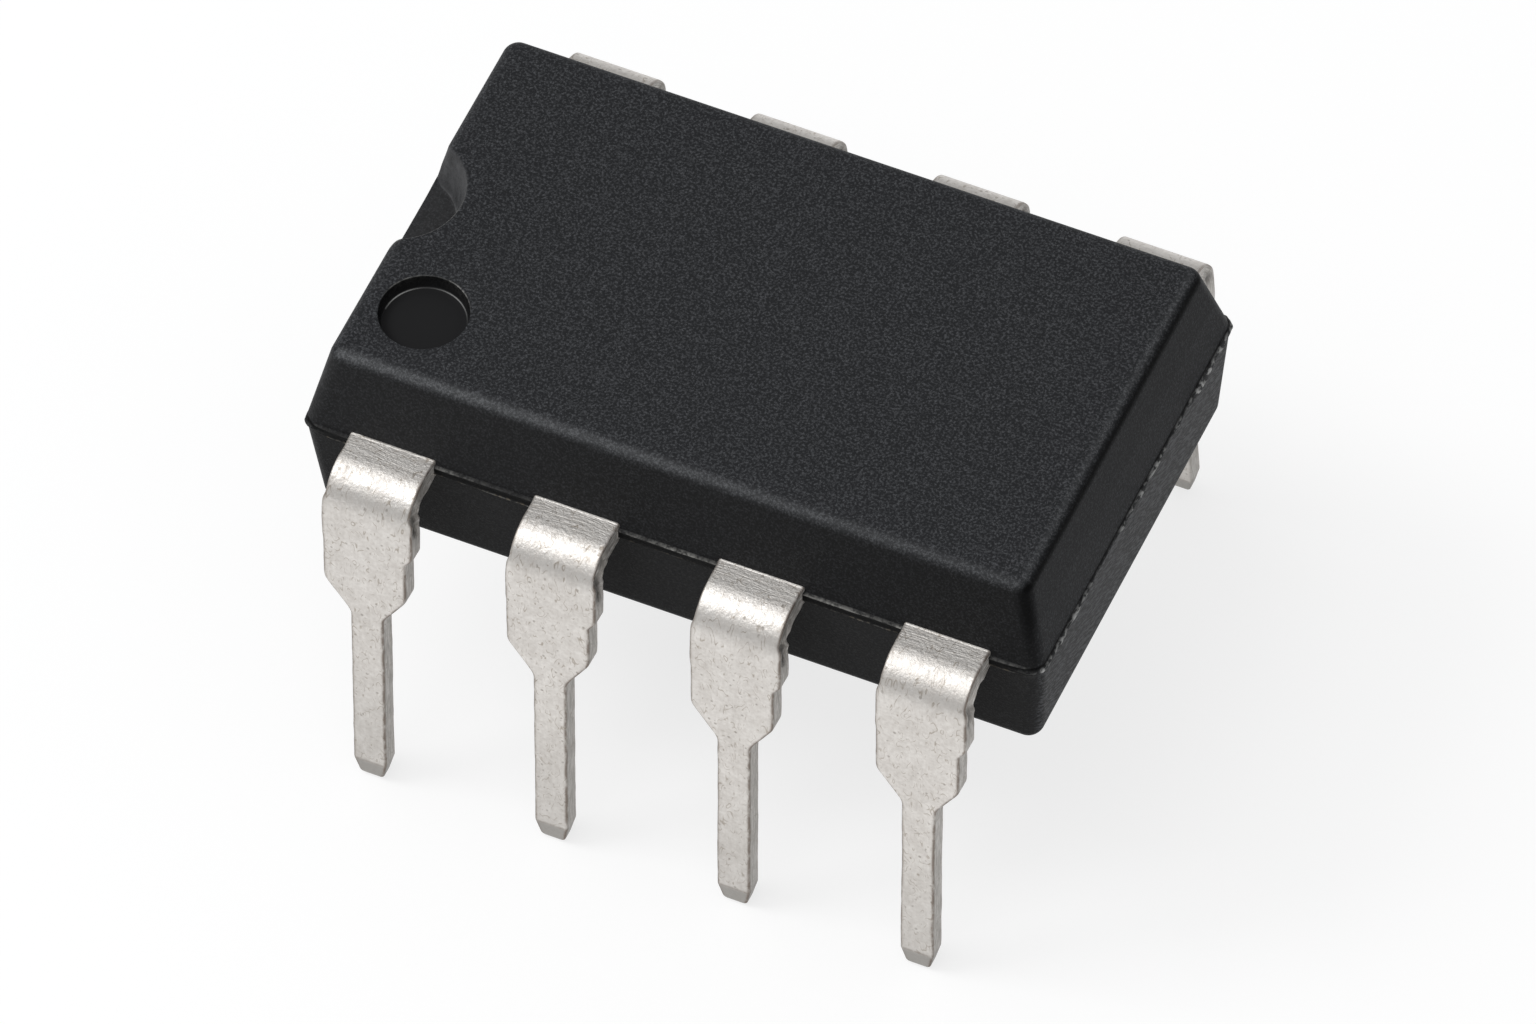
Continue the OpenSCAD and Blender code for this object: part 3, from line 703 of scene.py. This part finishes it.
# Matte tin on a rolled strip: fine grain and faint clouds, streaks along the strip or wavy lines across the
# shelf, broken scratches and dark specks
def makeTinGroup():
    group, given, result = newGroup("tinSurface", [("Place", "Vector"), ("Shelf", "Float")],
                                    [("Tone", "Float"), ("Specks", "Float"), ("Scratches", "Float"),
                                     ("Height", "Float")])
    place = given["Place"]
    clouds = remap(group, noise(group, place, 3.5, 3.0, 0.6), 0.3, 0.7)
    grain = remap(group, noise(group, place, 19.0, 2.0, 0.6), 0.3, 0.7)
    along = remap(group, noise(group, stretch(group, place, (24, 3, 1)), 1.0, 3.0, 0.6), 0.25, 0.75)
    wave = noise(group, stretch(group, place, (1.6, 3, 1)), 1.0, 1.0)
    waved = addNode(group, "CombineXYZ", {}, {"Y": compute(group, "MULTIPLY", wave, 0.16)}).outputs[0]
    waved = addNode(group, "VectorMath", {"operation": "ADD"}, {0: place, 1: waved}).outputs[0]
    lines = remap(group, noise(group, stretch(group, waved, (1.6, 38, 1)), 1.0, 2.0, 0.6), 0.3, 0.6)
    onLeg = compute(group, "SUBTRACT", 1.0, given["Shelf"])
    streaks = compute(group, "ADD", compute(group, "MULTIPLY", lines, given["Shelf"]),
                      compute(group, "MULTIPLY", along, onLeg))
    share = compute(group, "MULTIPLY_ADD", given["Shelf"], 0.7, 0.25)
    tone = compute(group, "ADD", compute(group, "MULTIPLY", clouds, 0.35), compute(group, "MULTIPLY", grain, 0.4))
    tone = compute(group, "ADD", tone, compute(group, "MULTIPLY", streaks, share))
    spots = addNode(group, "TexVoronoi", {}, {"Vector": place, "Scale": 10.0})
    small = remap(group, spots.outputs["Distance"], 0.14, 0.26, 1.0, 0.0)
    few = remap(group, noise(group, place, 7.0, 1.0), 0.52, 0.6)
    specks = compute(group, "MULTIPLY", small, few)
    drawn = stretch(group, place, (1.6, 0.8, 1))  # more of them run down the strip than across
    fine = compute(group, "PINGPONG", compute(group, "MULTIPLY", noise(group, drawn, 5.0, 1.0), 6.0), 0.5)
    broken = remap(group, noise(group, place, 9.0, 1.0), 0.48, 0.6)
    scratches = compute(group, "MULTIPLY", remap(group, fine, 0.0, 0.12, 1.0, 0.0), broken)
    height = compute(group, "ADD", noise(group, place, 24.0, 3.0, 0.6), compute(group, "MULTIPLY", streaks, 0.22))
    for key, value in (("Tone", tone), ("Specks", specks), ("Scratches", scratches), ("Height", height)):
        group.links.new(value, result[key])
    return group


def newMaterial(name, roughness, metallic):
    material = bpy.data.materials.new(name)
    material.use_nodes = True
    shader = material.node_tree.nodes["Principled BSDF"]
    shader.inputs["Roughness"].default_value = roughness
    shader.inputs["Metallic"].default_value = metallic
    return material, material.node_tree, shader.inputs


def attribute(tree, name, output="Fac"):
    return addNode(tree, "Attribute", {"attribute_name": name}, {}).outputs[output]


def bump(tree, height, strength, distance):
    inputs = {"Height": height, "Strength": strength, "Distance": distance * metres}
    return addNode(tree, "Bump", {}, inputs).outputs[0]


def objectPlace(tree):
    place = addNode(tree, "TexCoord", {}, {}).outputs["Object"]
    return stretch(tree, place, (1 / metres, 1 / metres, 1 / metres))


# Colours of the moulding compound. The highlight colour of the top edges, the light colour and the shade colour are
# painted light and shade; the lip and flash colours are painted highlights on the band's lips, the notch's rim and the
# dimple, and flash is also the pale flash's own colour
compoundLook = {
    "face": (0.021, 0.0218, 0.0236, 1), "side": (0.0195, 0.0195, 0.02, 1), "stroke": (0.095, 0.098, 0.105, 1),
    "floor": (0.018, 0.018, 0.0187, 1), "shade": (0.003, 0.003, 0.0032, 1), "paintedHighlight": (0.15, 0.154, 0.16, 1),
    "paintedLight": (0.105, 0.106, 0.11, 1),
    "lip": (0.3, 0.295, 0.28, 1), "flash": (0.55, 0.55, 0.54, 1), "tan": (0.2, 0.165, 0.12, 1), "roughness": 0.5, "specular": 0.05,
}


def makeCompound(grain):
    look = compoundLook
    material, tree, shader = newMaterial("epoxyCompound", look["roughness"], 0.0)
    shader["Specular IOR Level"].default_value = look["specular"]
    place = objectPlace(tree)
    surface = useGroup(tree, grain, {"Place": place})
    polish = attribute(tree, "polish")
    side = attribute(tree, "side")
    rough = compute(tree, "SUBTRACT", 1.0, polish)
    strokes = compute(tree, "MULTIPLY", surface["Strokes"], rough)
    faint = compute(tree, "MULTIPLY", strokes, compute(tree, "MULTIPLY_ADD", side, -0.55, 1.0))
    colour = mixColour(tree, side, look["face"], look["side"])
    colour = mixColour(tree, faint, colour, look["stroke"])
    speckled = remap(tree, compute(tree, "ADD", strokes, surface["Pits"]), 0.3, 1.1, 0.25, 1.0)
    # Painted highlight along the top edges, broken up by the grain
    paintedHighlight = compute(tree, "MULTIPLY", attribute(tree, "ridge"), speckled)
    colour = mixColour(tree, paintedHighlight, colour, look["paintedHighlight"])
    # Painted light: patches painted lighter on the notch's wall, a corner and the sides
    mottled = remap(tree, noise(tree, place, 9.0, 3.0, 0.6), 0.35, 0.65, 0.6, 1.1)
    colour = mixColour(tree, compute(tree, "MULTIPLY", attribute(tree, "paintedLight"), mottled), colour, look["paintedLight"])
    colour = mixColour(tree, polish, colour, look["floor"])
    colour = mixColour(tree, compute(tree, "MULTIPLY", attribute(tree, "shade"), 0.85), colour, look["shade"])
    # The mould's end was ground: long marks in one slanting direction, drawn out by their second stretch
    slanted = addNode(tree, "Mapping", {}, {"Vector": place, "Rotation": (-0.98, 0, 0)}).outputs[0]
    marks = remap(tree, noise(tree, stretch(tree, slanted, (28, 28, 6)), 1.0, 2.0, 0.6), 0.46, 0.6)
    marks = compute(tree, "MULTIPLY", marks, attribute(tree, "drawn"))
    colour = mixColour(tree, marks, colour, look["stroke"])
    # Painted highlights on the band's lips, the notch's rim and seam and the dimple's rim, broken into specks
    sheenSpecks = remap(tree, noise(tree, place, 20.0, 2.0), 0.36, 0.6, 0.15, 1.0)
    lip = compute(tree, "MULTIPLY", attribute(tree, "lip"), sheenSpecks)
    colour = mixColour(tree, lip, colour, look["lip"])
    # The flash round the ends, painted brighter as a highlight, and the painted highlight on the dimple's seam, left
    # unbroken where the floor is polished
    chips = remap(tree, noise(tree, stretch(tree, place, (1, 0.4, 1)), 24.0, 2.0), 0.46, 0.58, 0.1, 1.0)
    chips = compute(tree, "MAXIMUM", chips, remap(tree, polish, 0.1, 0.4))
    colour = mixColour(tree, compute(tree, "MULTIPLY", attribute(tree, "flash"), chips), colour, look["flash"])
    stain = compute(tree, "MULTIPLY", attribute(tree, "tan"), remap(tree, noise(tree, place, 15.0, 2.0), 0.52, 0.64))
    colour = mixColour(tree, compute(tree, "MULTIPLY", stain, 0.7), colour, look["tan"])
    tree.links.new(colour, shader["Base Color"])
    tree.links.new(remap(tree, polish, 0.0, 1.0, look["roughness"], 0.38), shader["Roughness"])
    height = compute(tree, "MULTIPLY", surface["Height"], rough)
    tree.links.new(bump(tree, height, 0.45, 0.008), shader["Normal"])
    return material


# Colours of the tin; the pocket colour is painted shade in the torn pocket's hollow
tinLook = {
    "bright": (0.85, 0.822, 0.788, 1), "dull": (0.62, 0.585, 0.548, 1), "speck": (0.2, 0.165, 0.13, 1),
    "scratch": (0.34, 0.285, 0.225, 1), "side": (0.43, 0.405, 0.372, 1), "stain": (0.15, 0.105, 0.075, 1),
    "pocket": (0.05, 0.042, 0.036, 1), "tip": (0.35, 0.335, 0.315, 1), "roughness": 0.46,
}


def makeTin(tin):
    look = tinLook
    material, tree, shader = newMaterial("matteTin", look["roughness"], 1.0)
    strip = attribute(tree, "strip", "Vector")
    surface = useGroup(tree, tin, {"Place": strip, "Shelf": attribute(tree, "shelf")})
    colour = mixColour(tree, surface["Tone"], look["dull"], look["bright"])
    colour = mixColour(tree, compute(tree, "MULTIPLY", surface["Scratches"], 0.75), colour, look["scratch"])
    colour = mixColour(tree, compute(tree, "MULTIPLY", surface["Specks"], 0.5), colour, look["speck"])
    colour = mixColour(tree, compute(tree, "MULTIPLY", attribute(tree, "tip"), 0.95), colour, look["tip"])
    sheared = remap(tree, noise(tree, stretch(tree, strip, (10, 4, 45)), 1.0, 3.0, 0.6), 0.38, 0.62, 0.05, 1.0)
    colour = mixColour(tree, compute(tree, "MULTIPLY", attribute(tree, "side"), sheared), colour, look["side"])
    rust = remap(tree, noise(tree, stretch(tree, strip, (16, 5, 16)), 1.0, 3.0, 0.6), 0.3, 0.54)
    stain = compute(tree, "MULTIPLY", attribute(tree, "rim"), rust)
    colour = mixColour(tree, compute(tree, "MULTIPLY", stain, 0.8), colour, look["stain"])
    # The torn pocket at the end of the bend is painted almost black: painted shade in its hollow
    colour = mixColour(tree, compute(tree, "MULTIPLY", attribute(tree, "stub"), 0.85), colour, look["pocket"])
    tree.links.new(colour, shader["Base Color"])
    bare = compute(tree, "MULTIPLY_ADD", attribute(tree, "side"), -0.55, 1.0)  # sheared sides are duller
    tree.links.new(bare, shader["Metallic"])
    uneven = remap(tree, surface["Tone"], 0.0, 1.0, look["roughness"] + 0.1, look["roughness"] - 0.06)
    worn = compute(tree, "MULTIPLY_ADD", attribute(tree, "shelf"), 0.14, uneven)
    tree.links.new(worn, shader["Roughness"])
    tree.links.new(bump(tree, surface["Height"], 0.7, 0.01), shader["Normal"])
    return material


# The pieces inside the body: their colours, roughness and metal, with a fine unevenness
innerLooks = {
    "leadFrame": ((0.62, 0.4, 0.26, 1), 0.35, 1.0, ["die_pad"]),
    "silverAdhesive": ((0.5, 0.5, 0.48, 1), 0.6, 0.0, ["die_attach"]),
    "silicon": ((0.1, 0.11, 0.15, 1), 0.15, 0.4, ["die"]),
    "goldWire": ((0.83, 0.6, 0.22, 1), 0.25, 1.0, [f"bond_wire_{n}" for n in range(1, 9)]),
}


def makeInnerMaterials():
    for name, (colour, roughness, metallic, nodes) in innerLooks.items():
        material, tree, shader = newMaterial(name, roughness, metallic)
        place = objectPlace(tree)
        patch = noise(tree, place, 8.0, 3.0)
        dark = tuple(0.8 * v for v in colour[:3]) + (1,)
        tree.links.new(mixColour(tree, patch, dark, colour), shader["Base Color"])
        tree.links.new(bump(tree, noise(tree, place, 30.0, 2.0), 0.3, 0.002), shader["Normal"])
        for node in nodes:
            mesh = bpy.data.objects[node].data
            mesh.materials.clear()
            mesh.materials.append(material)


body.data.materials.append(makeCompound(makeGrainGroup()))
matteTin = makeTin(makeTinGroup())
for lead in leads:
    lead.data.materials.append(matteTin)
makeInnerMaterials()
print("materials made")


# The studio: a paper floor, two softboxes, the sky and the camera that took the photograph
studio = {
    "floorSize": 1200, "floorColour": (0.3, 0.3, 0.3, 1), "floorGlow": 0.75, "skyColour": (0.98, 0.99, 1.0, 1),
    "skyLevel": 0.42, "boxTarget": (0, 0, 3), "boxes": {
        "softboxAbove": {"place": (-60, -75, 278), "size": (225, 220), "power": 0.26},
        "softboxLeft": {"place": (-165, -65, 232), "size": (100, 100), "power": 0.2},
    },
}
cameraAt = {"place": (65.543, -133.1806, 197.68), "turn": (0.6495858, 0.0267434, 0.4227238), "lens": 451.952}


def addObject(name, data):
    made = bpy.data.objects.new(name, data)
    bpy.context.scene.collection.objects.link(made)
    return made


# The floor glows for the camera and in reflections, so that it is white and its shadow stays faint
def makeFloor():
    half = studio["floorSize"] / 2 * metres
    mesh = bpy.data.meshes.new("floor")
    mesh.from_pydata([(-half, -half, 0), (half, -half, 0), (half, half, 0), (-half, half, 0)], [], [(0, 1, 2, 3)])
    addObject("floor", mesh)
    material, tree, shader = newMaterial("floorPaper", 1.0, 0.0)
    shader["Base Color"].default_value = studio["floorColour"]
    shader["Specular IOR Level"].default_value = 0.0
    shader["Emission Color"].default_value = (1, 1, 1, 1)
    path = addNode(tree, "LightPath", {}, {}).outputs
    seen = compute(tree, "MAXIMUM", path["Is Camera Ray"], path["Is Glossy Ray"])
    seen = compute(tree, "MAXIMUM", seen, path["Is Transmission Ray"])
    tree.links.new(compute(tree, "MULTIPLY", seen, studio["floorGlow"]), shader["Emission Strength"])
    mesh.materials.append(material)


def makeLights():
    world = bpy.data.worlds.new("studioSky")
    world.use_nodes = True
    background = world.node_tree.nodes["Background"].inputs
    background["Color"].default_value = studio["skyColour"]
    background["Strength"].default_value = studio["skyLevel"]
    bpy.context.scene.world = world
    for name, box in studio["boxes"].items():
        lamp = bpy.data.lights.new(name, "AREA")
        lamp.shape = "RECTANGLE"
        lamp.size, lamp.size_y = (v * metres for v in box["size"])
        lamp.energy = box["power"]
        softbox = addObject(name, lamp)
        place, target = Vector(box["place"]), Vector(studio["boxTarget"])
        softbox.location = place * metres
        softbox.rotation_euler = (target - place).to_track_quat("-Z", "Y").to_euler()


def makeCamera():
    camera = bpy.data.cameras.new("camera")
    camera.lens = cameraAt["lens"]
    camera.sensor_width = 36
    camera.clip_start = 0.01
    camera.clip_end = 10
    taker = addObject("camera", camera)
    taker.location = Vector(cameraAt["place"]) * metres
    taker.rotation_euler = cameraAt["turn"]
    bpy.context.scene.camera = taker


makeFloor()
makeLights()
makeCamera()
bpy.context.scene.view_settings.view_transform = "Standard"
print("studio made")
